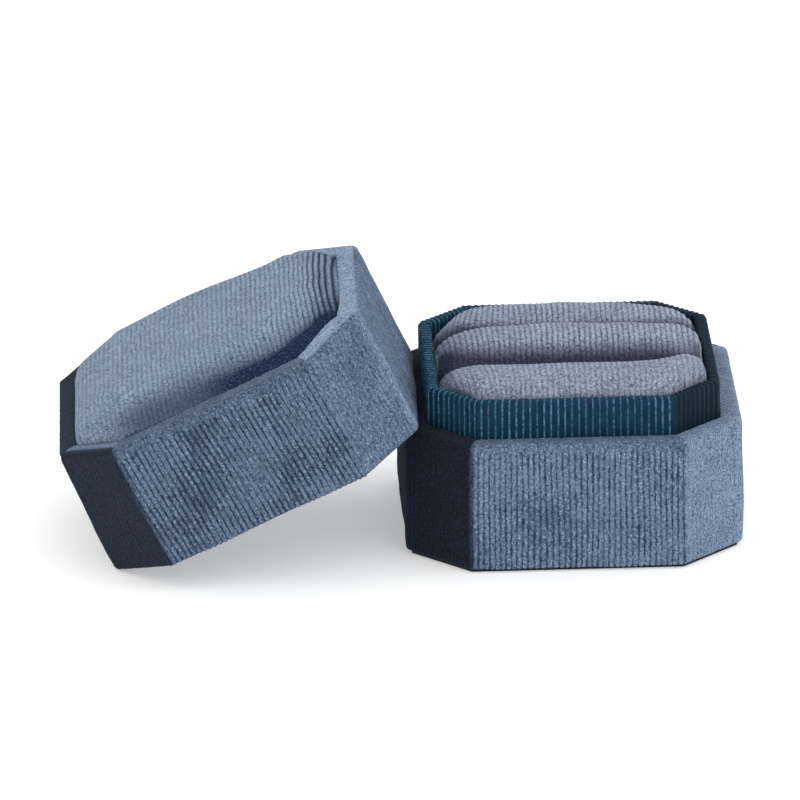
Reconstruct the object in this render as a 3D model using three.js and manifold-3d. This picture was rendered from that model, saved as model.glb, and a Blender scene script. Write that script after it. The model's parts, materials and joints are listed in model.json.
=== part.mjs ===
// A two-slot ring box: an octagonal tray with a ribbon-covered collar, a lift-out ring pad of three
// velvet rolls, and a loose lid that leans on the tray's ledge. Millimetres, +Z up, the origin at the
// middle of the tray's underside.
import * as THREE from "three";
import { mergeVertices } from "three/addons/utils/BufferGeometryUtils.js";
import Module from "manifold-3d";

const wasm = await Module();
wasm.setup();

// Driving dimensions.
const BOX_WIDTH = 50; // across the flats, over the velvet, in X and in Y
const CORNER_LEG = 9; // how much each cut corner takes off a side
const TRAY_HEIGHT = 20;
const LID_HEIGHT = 20;
const COLLAR_RISE = 5.6; // how far the collar stands above the tray's ledge

// Material thicknesses.
const VELVET = 0.8;
const TURNED_VELVET = 0.6; // the same velvet, pressed flat where it turns inside a wall
const WALL_BOARD = 1.7;
const FLOOR_BOARD = 2;
const COLLAR_BOARD = 0.8;
const RIBBON = 0.3;
const PAPER = 0.4;
const CARD = 0.8;
const GLUE_GAP = 0.1; // between glued layers
const CORNER_ROUND = 1.6; // radius of an upright outer corner
const FOLD_ROUND = 0.7; // radius of the velvet where it folds over an edge

// Insets of each layer from the outer velvet, in order from outside to inside.
const BOARD_INSET = VELVET + GLUE_GAP;
const TURN_INSET = BOARD_INSET + WALL_BOARD + GLUE_GAP;
const COLLAR_INSET = TURN_INSET + TURNED_VELVET + GLUE_GAP;
const COLLAR_BOARD_INSET = COLLAR_INSET + RIBBON + GLUE_GAP;
const COLLAR_LINING_INSET = COLLAR_BOARD_INSET + COLLAR_BOARD + GLUE_GAP;
const WELL_INSET = COLLAR_LINING_INSET + RIBBON;

// Heights in the tray.
const HEM_BOTTOM = PAPER + GLUE_GAP;
const FLOOR_BOTTOM = HEM_BOTTOM + TURNED_VELVET + GLUE_GAP;
const FLOOR_TOP = FLOOR_BOTTOM + FLOOR_BOARD;
const COLLAR_TOP = TRAY_HEIGHT + COLLAR_RISE;
const HEM_WIDTH = 7; // of velvet turned under the tray
const TUCK_DEPTH = 6; // of velvet and ribbon tucked down between wall and collar
const RIBBON_TURN = 7; // of ribbon turned down inside the collar

// The ring pad: three rolls on a card, with a slot between each two.
const PAD_CLEARANCE = 0.3; // between the pad and the collar's lining
const SLOT_WIDTH = 0.6;
const END_ROLL_CREST = 28.1;
const MIDDLE_ROLL_CREST = 29.5;
const ROLL_END_DROP = 3.2; // how much lower a roll's shoulder is than its crest
const ROLL_END_ROUND = 9; // how far in from its end a roll starts to fall
const PAD_INSET = WELL_INSET + PAD_CLEARANCE;
const ROLL_COUNT = 3;
const ROLL_PITCH = (BOX_WIDTH - 2 * PAD_INSET + SLOT_WIDTH) / ROLL_COUNT;
const ROLL_WIDTH = ROLL_PITCH - SLOT_WIDTH;

// The lid, in its own frame: its rim at z 0 and its padded top at LID_HEIGHT.
const LID_TILT = THREE.MathUtils.degToRad(25.2); // it leans on the ledge, its left edge on the table
const LID_TURN = THREE.MathUtils.degToRad(-0.7);
const LID_OFFSET_X = -45.4;
const LID_OFFSET_Y = -4.3;
const TABLE_CLEARANCE = 0.02;
const LINING = 0.3;
const LINING_CARD = 0.5;
const TOP_BOARD = 1.2;
const PANEL_CARD = 0.5;
const PANEL_FOAM = 1;
const LID_LINING_INSET = BOARD_INSET + WALL_BOARD + GLUE_GAP;
const LID_CAVITY_INSET = LID_LINING_INSET + LINING;
const PANEL_INSET = LID_LINING_INSET + TURNED_VELVET + GLUE_GAP; // leaves the velvet rim round the panel
const LINING_PAD_INSET = LID_CAVITY_INSET + 0.8;
const PANEL_SKIN_BOTTOM = LID_HEIGHT - TURNED_VELVET;
const PANEL_FOAM_BOTTOM = PANEL_SKIN_BOTTOM - GLUE_GAP - PANEL_FOAM;
const PANEL_CARD_BOTTOM = PANEL_FOAM_BOTTOM - GLUE_GAP - PANEL_CARD;
const TOP_BOARD_BOTTOM = PANEL_CARD_BOTTOM - GLUE_GAP - TOP_BOARD;
const LINING_CARD_BOTTOM = TOP_BOARD_BOTTOM - GLUE_GAP - LINING_CARD;
const CAVITY_TOP = LINING_CARD_BOTTOM - GLUE_GAP - LINING;

const COLOURS = {
  velvet: 0x5b6c82,
  lightVelvet: 0x8190a6,
  padVelvet: 0x818e9f,
  ribbon: 0x1f5068,
  board: 0xa89f90,
  card: 0xd8d4cb,
  foam: 0xe9e4d2,
  paper: 0x23252b,
  lining: 0x8d99aa,
};

// The box's outline drawn in by inset: a square with cut corners, each vertex rounded by radius.
function octagon(inset, radius = Math.max(CORNER_ROUND - inset, 0.3)) {
  const half = BOX_WIDTH / 2 - inset;
  const cutDistance = (BOX_WIDTH - CORNER_LEG) / Math.SQRT2 - inset;
  const near = cutDistance * Math.SQRT2 - half;
  const corners = [
    [half, near],
    [near, half],
    [-near, half],
    [-half, near],
    [-half, -near],
    [-near, -half],
    [near, -half],
    [half, -near],
  ].map(([x, y]) => new THREE.Vector2(x, y));
  const round = radius * Math.tan(Math.PI / 8);
  const shape = new THREE.Shape();
  corners.forEach((corner, i) => {
    const before = corners[(i + 7) % 8];
    const after = corners[(i + 1) % 8];
    const start = corner.clone().add(before.clone().sub(corner).setLength(round));
    const end = corner.clone().add(after.clone().sub(corner).setLength(round));
    if (i === 0) shape.moveTo(start.x, start.y);
    else shape.lineTo(start.x, start.y);
    shape.quadraticCurveTo(corner.x, corner.y, end.x, end.y);
  });
  shape.closePath();
  return shape;
}

function solidOf(geometry) {
  const bare = geometry.clone();
  bare.deleteAttribute("normal");
  bare.deleteAttribute("uv");
  const merged = mergeVertices(bare, 1e-4);
  return new wasm.Manifold(
    new wasm.Mesh({
      numProp: 3,
      vertProperties: new Float32Array(merged.attributes.position.array),
      triVerts: new Uint32Array(merged.index.array),
    }),
  );
}

function geometryOf(solid) {
  const mesh = solid.getMesh();
  const geometry = new THREE.BufferGeometry();
  geometry.setAttribute("position", new THREE.BufferAttribute(mesh.vertProperties, mesh.numProp));
  geometry.setIndex(new THREE.BufferAttribute(mesh.triVerts, 1));
  geometry.computeVertexNormals();
  return geometry;
}

// A solid octagonal slab with square edges.
function slab(inset, bottom, top) {
  const settings = { depth: top - bottom, bevelEnabled: false, curveSegments: 3 };
  return solidOf(new THREE.ExtrudeGeometry(octagon(inset), settings).translate(0, 0, bottom));
}

// The same slab with its top and bottom edges rounded.
function softSlab(inset, bottom, top, edge) {
  const settings = {
    depth: top - bottom - 2 * edge,
    curveSegments: 3,
    bevelThickness: edge,
    bevelSize: edge,
    bevelOffset: -edge,
    bevelSegments: 3,
  };
  const geometry = new THREE.ExtrudeGeometry(octagon(inset, CORNER_ROUND), settings);
  return solidOf(geometry.translate(0, 0, bottom + edge));
}

// An octagonal ring between two insets.
function ring(outerInset, innerInset, bottom, top) {
  return slab(outerInset, bottom, top).subtract(slab(innerInset, bottom - 1, top + 1));
}

function piece(name, solid, colour, roughness) {
  const material = new THREE.MeshStandardMaterial({ color: colour, roughness, metalness: 0 });
  const mesh = new THREE.Mesh(geometryOf(solid), material);
  mesh.name = name;
  return mesh;
}

function trayPieces() {
  const wall = ring(BOARD_INSET, BOARD_INSET + WALL_BOARD, FLOOR_BOTTOM, TRAY_HEIGHT - BOARD_INSET);
  const floor = slab(TURN_INSET, FLOOR_BOTTOM, FLOOR_TOP);
  const underside = slab(VELVET, 0, PAPER);
  return [
    piece("base_wall_board", wall, COLOURS.board, 0.9),
    piece("base_floor_board", floor, COLOURS.board, 0.9),
    piece("base_velvet_wrap", trayVelvet(), COLOURS.velvet, 0.95),
    piece("base_underside_sheet", underside, COLOURS.paper, 0.85),
  ];
}

// One strip of velvet: turned under the floor, up the outside, over the ledge and down behind the collar.
function trayVelvet() {
  const outside = softSlab(0, HEM_BOTTOM, TRAY_HEIGHT, FOLD_ROUND);
  const wallPocket = ring(VELVET, TURN_INSET, FLOOR_BOTTOM - GLUE_GAP, TRAY_HEIGHT - VELVET);
  const inside = slab(TURN_INSET, FLOOR_BOTTOM - GLUE_GAP, TRAY_HEIGHT - TUCK_DEPTH);
  const mouth = slab(TURN_INSET + TURNED_VELVET, TRAY_HEIGHT - TUCK_DEPTH - 1, TRAY_HEIGHT + 1);
  const insideHem = slab(HEM_WIDTH, 0, FLOOR_BOTTOM);
  return outside.subtract(wallPocket).subtract(inside).subtract(mouth).subtract(insideHem);
}

function collarPieces() {
  const board = ring(
    COLLAR_BOARD_INSET,
    COLLAR_BOARD_INSET + COLLAR_BOARD,
    FLOOR_TOP + GLUE_GAP,
    COLLAR_TOP - RIBBON - GLUE_GAP,
  );
  // The ribbon covers the collar's upper part and turns down inside it.
  const outside = ring(COLLAR_INSET, WELL_INSET, TRAY_HEIGHT - TUCK_DEPTH, COLLAR_TOP);
  const boardPocket = ring(
    COLLAR_INSET + RIBBON,
    COLLAR_LINING_INSET,
    0,
    COLLAR_TOP - RIBBON,
  );
  const belowTurn = slab(COLLAR_LINING_INSET, 0, COLLAR_TOP - RIBBON_TURN);
  const ribbon = outside.subtract(boardPocket).subtract(belowTurn);
  return [
    piece("collar_board", board, COLOURS.board, 0.9),
    piece("collar_ribbon", ribbon, COLOURS.ribbon, 0.6),
  ];
}

// A roll's section in Y and Z: upright sides and a rounded top.
function rollSection(width, bottom, crest) {
  const half = width / 2;
  const shape = new THREE.Shape();
  shape.moveTo(half, bottom);
  shape.lineTo(half, crest - half);
  shape.absarc(0, crest - half, half, 0, Math.PI);
  shape.lineTo(-half, bottom);
  shape.closePath();
  return shape;
}

// A roll seen from the front, in X and Z: its crest falls in a curve towards both ends.
function rollLength(halfLength, bottom, crest) {
  const shape = new THREE.Shape();
  const shoulder = crest - ROLL_END_DROP;
  const flat = halfLength - ROLL_END_ROUND;
  shape.moveTo(halfLength, bottom);
  shape.lineTo(halfLength, shoulder);
  shape.quadraticCurveTo(halfLength, crest, flat, crest);
  shape.lineTo(-flat, crest);
  shape.quadraticCurveTo(-halfLength, crest, -halfLength, shoulder);
  shape.lineTo(-halfLength, bottom);
  shape.closePath();
  return shape;
}

// A roll's solid, taken in by shrink from the velvet's outer face.
function rollSolid(centreY, bottom, crest, shrink) {
  const halfLength = BOX_WIDTH / 2 - PAD_INSET - shrink;
  const section = rollSection(ROLL_WIDTH - 2 * shrink, bottom, crest - shrink);
  const along = new THREE.ExtrudeGeometry(section, {
    depth: BOX_WIDTH,
    bevelEnabled: false,
    curveSegments: 16,
  });
  // The section's own X becomes the box's Y, and its Y becomes Z.
  along.rotateX(Math.PI / 2).rotateZ(Math.PI / 2).translate(-BOX_WIDTH / 2, centreY, 0);
  const across = new THREE.ExtrudeGeometry(rollLength(halfLength, bottom, crest - shrink), {
    depth: BOX_WIDTH,
    bevelEnabled: false,
    curveSegments: 6,
  });
  across.rotateX(Math.PI / 2).translate(0, BOX_WIDTH / 2, 0);
  const outline = slab(PAD_INSET + shrink, bottom, crest + 1);
  return solidOf(along).intersect(solidOf(across)).intersect(outline);
}

function ringPadPieces() {
  const cardBottom = FLOOR_TOP + GLUE_GAP;
  const foamBottom = cardBottom + CARD + GLUE_GAP;
  const names = ["front", "middle", "back"];
  const crests = [END_ROLL_CREST, MIDDLE_ROLL_CREST, END_ROLL_CREST];
  const rolls = names.flatMap((name, i) => {
    const centreY = (i - 1) * ROLL_PITCH;
    const cover = rollSolid(centreY, foamBottom, crests[i], 0);
    const pocket = rollSolid(centreY, foamBottom - 1, crests[i], TURNED_VELVET);
    const foam = rollSolid(centreY, foamBottom, crests[i], TURNED_VELVET + GLUE_GAP);
    return [
      piece(name + "_roll_foam", foam, COLOURS.foam, 0.95),
      piece(name + "_roll_velvet", cover.subtract(pocket), COLOURS.padVelvet, 0.95),
    ];
  });
  const card = slab(PAD_INSET, cardBottom, cardBottom + CARD);
  return [piece("pad_card", card, COLOURS.card, 0.85), ...rolls];
}

// The strip of velvet round the lid: under the rim, up the outside, over the wall's top edge and down
// inside it to the top board.
function lidSideVelvet() {
  const outside = softSlab(0, 0, LID_HEIGHT, FOLD_ROUND);
  const wallPocket = ring(VELVET, LID_LINING_INSET, VELVET, LID_HEIGHT - VELVET);
  const cavity = slab(LID_LINING_INSET, -1, PANEL_CARD_BOTTOM);
  const panelWell = slab(LID_LINING_INSET + TURNED_VELVET, PANEL_CARD_BOTTOM - 1, LID_HEIGHT + 1);
  return outside.subtract(wallPocket).subtract(cavity).subtract(panelWell);
}

// The padded top: velvet drawn over foam and a card, pressed into the well inside the rim.
function lidPanelPieces() {
  const skinInset = PANEL_INSET + TURNED_VELVET;
  const velvet = softSlab(PANEL_INSET, PANEL_CARD_BOTTOM, LID_HEIGHT, FOLD_ROUND);
  const pocket = slab(skinInset, PANEL_CARD_BOTTOM - 1, PANEL_SKIN_BOTTOM);
  const foam = slab(skinInset + GLUE_GAP, PANEL_FOAM_BOTTOM, PANEL_SKIN_BOTTOM - GLUE_GAP);
  const card = slab(skinInset + GLUE_GAP, PANEL_CARD_BOTTOM, PANEL_CARD_BOTTOM + PANEL_CARD);
  return [
    piece("lid_panel_velvet", velvet.subtract(pocket), COLOURS.lightVelvet, 0.95),
    piece("lid_panel_foam", foam, COLOURS.foam, 0.95),
    piece("lid_panel_card", card, COLOURS.card, 0.85),
  ];
}

// The lining: a strip round the inside of the wall, and a satin-covered card under the top board.
function lidLiningPieces() {
  const strip = ring(LID_LINING_INSET + GLUE_GAP, LID_CAVITY_INSET + GLUE_GAP, VELVET, CAVITY_TOP - GLUE_GAP);
  const cardInset = LINING_PAD_INSET + LINING + GLUE_GAP;
  const card = slab(cardInset, LINING_CARD_BOTTOM, LINING_CARD_BOTTOM + LINING_CARD);
  const satin = slab(LINING_PAD_INSET, CAVITY_TOP, LINING_CARD_BOTTOM + LINING_CARD);
  const pocket = slab(LINING_PAD_INSET + LINING, CAVITY_TOP + LINING, LID_HEIGHT);
  return [
    piece("lid_wall_lining", strip, COLOURS.lining, 0.6),
    piece("lid_lining_card", card, COLOURS.card, 0.85),
    piece("lid_lining_satin", satin.subtract(pocket), COLOURS.lining, 0.5),
  ];
}

function lidPieces() {
  const wall = ring(BOARD_INSET, BOARD_INSET + WALL_BOARD, BOARD_INSET, LID_HEIGHT - BOARD_INSET);
  const top = slab(LID_LINING_INSET, TOP_BOARD_BOTTOM, TOP_BOARD_BOTTOM + TOP_BOARD);
  return [
    piece("lid_wall_board", wall, COLOURS.board, 0.9),
    piece("lid_top_board", top, COLOURS.board, 0.9),
    piece("lid_side_velvet", lidSideVelvet(), COLOURS.velvet, 0.95),
    ...lidPanelPieces(),
    ...lidLiningPieces(),
  ];
}

const ringBox = new THREE.Group();
const tray = new THREE.Group();
tray.add(...trayPieces(), ...collarPieces());
const ringPad = new THREE.Group();
ringPad.add(...ringPadPieces());
const lid = new THREE.Group();
lid.add(...lidPieces());
lid.rotation.set(0, -LID_TILT, LID_TURN, "ZYX");
lid.position.set(LID_OFFSET_X, LID_OFFSET_Y, (BOX_WIDTH / 2) * Math.sin(LID_TILT) + TABLE_CLEARANCE);
ringBox.add(tray, ringPad, lid);

export default ringBox;
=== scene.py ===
import json
import math

import bpy
import numpy as np
from mathutils import Matrix, Quaternion, Vector


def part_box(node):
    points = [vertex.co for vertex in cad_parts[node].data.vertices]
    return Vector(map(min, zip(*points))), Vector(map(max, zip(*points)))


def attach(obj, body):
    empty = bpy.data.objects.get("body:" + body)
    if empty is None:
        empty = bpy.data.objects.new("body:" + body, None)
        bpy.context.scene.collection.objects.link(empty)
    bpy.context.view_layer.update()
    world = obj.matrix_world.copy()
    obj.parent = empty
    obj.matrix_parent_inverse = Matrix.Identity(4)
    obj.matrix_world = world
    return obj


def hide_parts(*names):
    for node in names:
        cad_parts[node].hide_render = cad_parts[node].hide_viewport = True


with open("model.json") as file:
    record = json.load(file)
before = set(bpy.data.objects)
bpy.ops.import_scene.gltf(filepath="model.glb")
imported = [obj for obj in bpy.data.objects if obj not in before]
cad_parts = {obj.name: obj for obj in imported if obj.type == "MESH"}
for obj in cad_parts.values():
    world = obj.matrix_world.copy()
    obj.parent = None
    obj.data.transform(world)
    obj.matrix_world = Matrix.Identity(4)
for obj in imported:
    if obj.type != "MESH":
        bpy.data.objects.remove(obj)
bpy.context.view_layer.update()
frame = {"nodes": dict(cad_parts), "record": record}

# An octagonal velvet ring box: an open tray with a ribbon collar and a three-roll ring pad, and its
# loose lid leaning on the tray's ledge. Lengths named here are in millimetres; meshes are in metres.
MM = 0.001

# The box's outline and layers, as the CAD frame has them.
TRAY_LOW, TRAY_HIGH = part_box("base_velvet_wrap")
COLLAR_LOW, COLLAR_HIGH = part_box("collar_ribbon")
BOX_WIDTH = (TRAY_HIGH.x - TRAY_LOW.x) / MM
HEM_BOTTOM = TRAY_LOW.z / MM
LEDGE_HEIGHT = TRAY_HIGH.z / MM
TUCK_BOTTOM = COLLAR_LOW.z / MM
COLLAR_TOP = COLLAR_HIGH.z / MM
COLLAR_INSET = BOX_WIDTH / 2 - COLLAR_HIGH.x / MM
CORNER_LEG = 9
CORNER_ROUND = 1.3
HEM_WIDTH = 7
VELVET = 0.8
TURNED_VELVET = 0.6
RIBBON = 0.3
BOARD_POCKET = 1.9  # a wall board with its glue gaps
COLLAR_POCKET = 1.0  # the collar's board with its glue gaps
RIBBON_TURN = 7  # how much ribbon turns down inside the collar
WALL_POCKET_INSET = VELVET + BOARD_POCKET  # the velvet turned inside a wall starts here
TUCK_INSET = WALL_POCKET_INSET + TURNED_VELVET
WELL_INSET = COLLAR_INSET + 2 * RIBBON + COLLAR_POCKET
PAD_INSET = BOX_WIDTH / 2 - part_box("pad_card")[1].x / MM

# The lid's own frame: its rim at z 0 and its padded top up. It leans on the tray's ledge.
LID_TILT = math.radians(25.2)
LID_TURN = math.radians(-0.7)
TABLE_GAP = 0.02
LID_OFFSET = (-45.4, -4.3, BOX_WIDTH / 2 * math.sin(LID_TILT) + TABLE_GAP)
LID_FRAME = Matrix.Translation(Vector(LID_OFFSET) * MM) @ (
    Matrix.Rotation(LID_TURN, 4, "Z") @ Matrix.Rotation(-LID_TILT, 4, "Y")
)
LID_HEIGHT = 20  # its wall; the padded top is crowned above it
LID_TOP_BOARD = 17.7  # height of the top board's upper face, with its glue gap
PANEL_CARD_TOP = 18.2
PANEL_INSET = TUCK_INSET + 0.1
LINING = 0.3
LINING_INSET = WALL_POCKET_INSET + 0.1  # the lining strip, glued to the lid's wall
LINING_PAD_INSET = WALL_POCKET_INSET + 1.1
CAVITY_TOP = 15.4
LINING_LIP = 16.25  # how high the satin turns up round its card
LEFT_LEAN = 0.55  # how far the left wall leans in at its top
PROUD_CORNER = (21, -16)  # where the rim stands highest
PROUD_RIM = 1.1
PROUD_REACH = 6.5

# The velvet's ribs and the ribbon's ridges.
RIB_PITCH = 0.845
RIB_HEIGHT = 0.17
COLUMNS_PER_RIB = 6
RIDGE_PITCH = 1.03
RIDGE_HEIGHT = 0.15
LID_RIB_LEAN = 0.066  # sideways for each millimetre of height
LID_RIB_CONTRAST = 1.35
PLAIN_RIDGE = 0.62  # the ridge value of velvet whose ribs are pressed flat
FIBRE_MARKS = 0.16
WAVE_COUNT = 24

# Seeds of the noise. Each piece also uses the few numbers after its own.
TRAY_SEED = 11
LID_SEED = 31
COLLAR_SEED = 51
PANEL_SHAPE_SEED = 71
PANEL_RIB_SEED = 73
STRIP_SEED = 81
SATIN_SEED = 82
ROLL_SEEDS = {"front": 100, "middle": 110, "back": 120}


# ---------------------------------------------------------------- number helpers


def smoothstep(low, high, value):
    t = np.clip((value - low) / (high - low), 0, 1)
    return t * t * (3 - 2 * t)


class Waves:
    """Smooth seeded noise in three dimensions, about -1 to 1: a sum of plane waves."""

    def __init__(self, seed, wavelength):
        random = np.random.default_rng(seed)
        direction = random.normal(size=(WAVE_COUNT, 3))
        direction /= np.linalg.norm(direction, axis=1, keepdims=True)
        lengths = wavelength * random.uniform(0.6, 1.8, WAVE_COUNT)
        self.vectors = direction * (2 * math.pi / lengths)[:, None]
        self.phases = random.uniform(0, 2 * math.pi, WAVE_COUNT)
        self.scale = 0.7 * math.sqrt(2 / WAVE_COUNT)

    def __call__(self, points):
        return np.cos(points @ self.vectors.T + self.phases).sum(-1) * self.scale


def grain(shape, seed):
    """Rough seeded noise over a grid, about -1 to 1, each step a vertex or two across."""
    values = np.random.default_rng(seed).normal(size=shape)
    for axis in (0, 1):
        values = (np.roll(values, 1, axis) + 2 * values + np.roll(values, -1, axis)) / 4
    return values / values.std() * 0.5


def ribs(position, pitch):
    """Rounded ribs with narrow grooves: 0 in a groove and 1 on a rib's back."""
    return np.abs(np.sin(math.pi * position / pitch)) ** 0.75


def cubic_weights(count, positions):
    """A matrix that reads count samples at fractional positions with a smooth cubic."""
    base = np.floor(positions).astype(int)
    t = positions - base
    parts = (
        -0.5 * t + t**2 - 0.5 * t**3,
        1 - 2.5 * t**2 + 1.5 * t**3,
        0.5 * t + 2 * t**2 - 1.5 * t**3,
        -0.5 * t**2 + 0.5 * t**3,
    )
    matrix = np.zeros((len(positions), count))
    for step, part in enumerate(parts):
        index = np.clip(base + step - 1, 0, count - 1)
        np.add.at(matrix, (np.arange(len(positions)), index), part)
    return matrix


# ---------------------------------------------------------------- mesh helpers


def grid_faces(index, wrap_columns):
    """Quads between each row of vertices and the next, the last row joined to the first."""
    below = np.roll(index, -1, 0)
    if wrap_columns:
        quads = (index, np.roll(index, -1, 1), np.roll(below, -1, 1), below)
    else:
        quads = (index[:, :-1], index[:, 1:], below[:, 1:], below[:, :-1])
    return np.stack(quads, -1).reshape(-1, 4)


def end_faces(ring):
    """Closes a ring of vertices with a ladder of quads across it."""
    half = len(ring) // 2
    near, far = ring[:half], ring[::-1][:half]
    return np.stack([near[:-1], near[1:], far[1:], far[:-1]], -1)


def outward(vertices, faces):
    """The same faces, turned so that the closed surface faces out."""
    a, b, c, d = (vertices[faces[:, i]] for i in range(4))
    volume = np.einsum("ij,ij->", a, np.cross(b, c)) + np.einsum("ij,ij->", a, np.cross(c, d))
    return faces if volume > 0 else faces[:, ::-1]


def grid_mesh(name, points, wrap_columns, layers, place=None):
    """A closed quad mesh from points[row, column] in millimetres. Its rows wrap round, and its columns
    either wrap too or end in flat caps. Layers are named values for each point, for the materials."""
    rows, columns = points.shape[:2]
    index = np.arange(rows * columns).reshape(rows, columns)
    faces = grid_faces(index, wrap_columns)
    if not wrap_columns:
        faces = np.concatenate([faces, end_faces(index[:, 0])[:, ::-1], end_faces(index[:, -1])])
    vertices = points.reshape(-1, 3) * MM
    faces = outward(vertices, faces)
    mesh = bpy.data.meshes.new(name)
    mesh.vertices.add(len(vertices))
    mesh.vertices.foreach_set("co", vertices.astype(np.float32).ravel())
    mesh.loops.add(faces.size)
    mesh.loops.foreach_set("vertex_index", faces.astype(np.int32).ravel())
    mesh.polygons.add(len(faces))
    mesh.polygons.foreach_set("loop_start", np.arange(0, faces.size, 4, dtype=np.int32))
    mesh.polygons.foreach_set("use_smooth", np.ones(len(faces), bool))
    mesh.update(calc_edges=True)
    mesh.validate()
    for layer, values in layers.items():
        attribute = mesh.attributes.new(layer, "FLOAT", "POINT")
        full = np.broadcast_to(values, (rows, columns)).astype(np.float32)
        attribute.data.foreach_set("value", full.ravel())
    piece = bpy.data.objects.new(name, mesh)
    bpy.context.scene.collection.objects.link(piece)
    if place:
        piece.matrix_world = place
    return piece


def grid_normals(points, wrap_columns):
    """Unit normals of a grid whose rows wrap round, facing out of the closed shape."""
    down = np.roll(points, -1, 0) - np.roll(points, 1, 0)
    if wrap_columns:
        across = np.roll(points, -1, 1) - np.roll(points, 1, 1)
    else:
        across = np.gradient(points, axis=1)
    normals = np.cross(down, across)
    normals /= np.maximum(np.linalg.norm(normals, axis=2, keepdims=True), 1e-9)
    centre = points.mean(axis=(0, 1))
    facing = np.einsum("ijk,ijk->", normals, points - centre)
    return normals if facing > 0 else -normals


# ---------------------------------------------------------------- the octagon and its bands


class Octagon:
    """The box's outline as evenly spaced stations, which can be drawn in by any inset."""

    QUARTERS = ((1, 0), (0, 1), (-1, 0), (0, -1))  # cosine and sine of each quarter turn

    def __init__(self, spacing, corner_columns=6):
        half = BOX_WIDTH / 2
        near = half - CORNER_LEG
        quarter = [(half, near), (near, half)]
        turned = [(x * c - y * s, x * s + y * c) for c, s in self.QUARTERS for x, y in quarter]
        self.corners = np.array(turned)
        self.angles = np.arange(8) * math.pi / 4  # outward direction of the side before each corner
        side, rounded, share = [], [], []
        for i in range(8):
            length = np.linalg.norm(self.corners[i] - self.corners[i - 1])
            count = round((length - 2 * self.setback(CORNER_ROUND)) / spacing)
            side += [i] * (count + corner_columns)
            rounded += [False] * count + [True] * corner_columns
            share += list(np.arange(count) / count) + list(np.arange(corner_columns) / corner_columns)
        self.side = np.array(side)
        self.rounded = np.array(rounded)
        self.share = np.array(share)
        angle = self.angles[self.side] + np.where(self.rounded, self.share, 0) * math.pi / 4
        self.normals = np.stack([np.cos(angle), np.sin(angle)], -1)

    def setback(self, radius):
        return radius * math.tan(math.pi / 8)

    def points(self, inset):
        radius = max(CORNER_ROUND - inset, 0.25)
        half = BOX_WIDTH / 2 - inset
        near = (BOX_WIDTH - CORNER_LEG) - inset * math.sqrt(2) - half
        on_side = np.abs(self.corners) > BOX_WIDTH / 2 - CORNER_LEG / 2
        corners = np.sign(self.corners) * np.where(on_side, half, near)
        before, here = corners[self.side - 1], corners[self.side]
        along = (here - before) / np.linalg.norm(here - before, axis=1, keepdims=True)
        back = self.setback(radius)
        start, end = before + along * back, here - along * back
        straight = start + (end - start) * self.share[:, None]
        angle = self.angles[self.side]
        centre = end - radius * np.stack([np.cos(angle), np.sin(angle)], -1)
        turned = angle + self.share * math.pi / 4
        curved = centre + radius * np.stack([np.cos(turned), np.sin(turned)], -1)
        return np.where(self.rounded[:, None], curved, straight)

    def softened(self, values, width):
        """Values of the stations, blurred along the outline over about width millimetres."""
        arc, length = self.arc(0)
        count = max(1, round(width / length * len(arc) / 2))
        reach = np.arange(-2 * count, 2 * count + 1)
        weights = np.exp(-((reach / count) ** 2))
        return sum(w * np.roll(values, k) for w, k in zip(weights, reach)) / weights.sum()

    def arc(self, inset):
        """How far round each station is, and the whole way round, at this inset."""
        outline = self.points(inset)
        steps = np.linalg.norm(np.roll(outline, -1, 0) - outline, axis=1)
        return np.concatenate([[0], np.cumsum(steps)[:-1]]), steps.sum()


def folded_path(corners):
    """A closed profile of (inset, height) points and its (outward, up) normals. Each corner is (inset,
    height, fold radius, spacing of the points from it to the next corner)."""
    points = []
    count = len(corners)
    for i, (inset, height, radius, spacing) in enumerate(corners):
        here = np.array((inset, height), float)
        before = np.array(corners[i - 1][:2], float)
        after = np.array(corners[(i + 1) % count][:2], float)
        next_radius = corners[(i + 1) % count][2]
        ahead = (after - here) / np.linalg.norm(after - here)
        start = here + (before - here) / np.linalg.norm(before - here) * radius
        end = here + ahead * radius
        steps = max(1, round(radius * 5))
        for t in np.linspace(0, 1, steps + 1):
            points.append((1 - t) ** 2 * start + 2 * t * (1 - t) * here + t * t * end)
        length = np.linalg.norm(after - here) - radius - next_radius
        pieces = max(1, round(length / spacing))
        points += [end + ahead * length * k / pieces for k in range(1, pieces)]
    points = np.array(points)
    tangent = np.roll(points, -1, 0) - np.roll(points, 1, 0)
    tangent /= np.linalg.norm(tangent, axis=1, keepdims=True)
    return points, np.stack([tangent[:, 1], tangent[:, 0]], -1)


def pressed(points, place):
    """The points of a piece that lies at place, pressed flat where they would go into the table."""
    turn = np.array(place.to_3x3())
    offset = np.array(place.to_translation()) / MM
    placed = points @ turn.T + offset
    placed[..., 2] = np.maximum(placed[..., 2], TABLE_GAP)
    return (placed - offset) @ turn


def band(name, octagon, profile, lift, layers, place=None):
    """Sweeps a closed profile round the octagon and lifts each point along its normal."""
    rows = []
    for (inset, height), (out, up), raised in zip(*profile, lift):
        flat = octagon.points(inset) + octagon.normals * (out * raised)[:, None]
        rows.append(np.column_stack([flat, height + up * raised]))
    points = pressed(np.array(rows), place) if place else np.array(rows)
    return grid_mesh(name, points, True, layers, place)


# ---------------------------------------------------------------- materials


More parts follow.
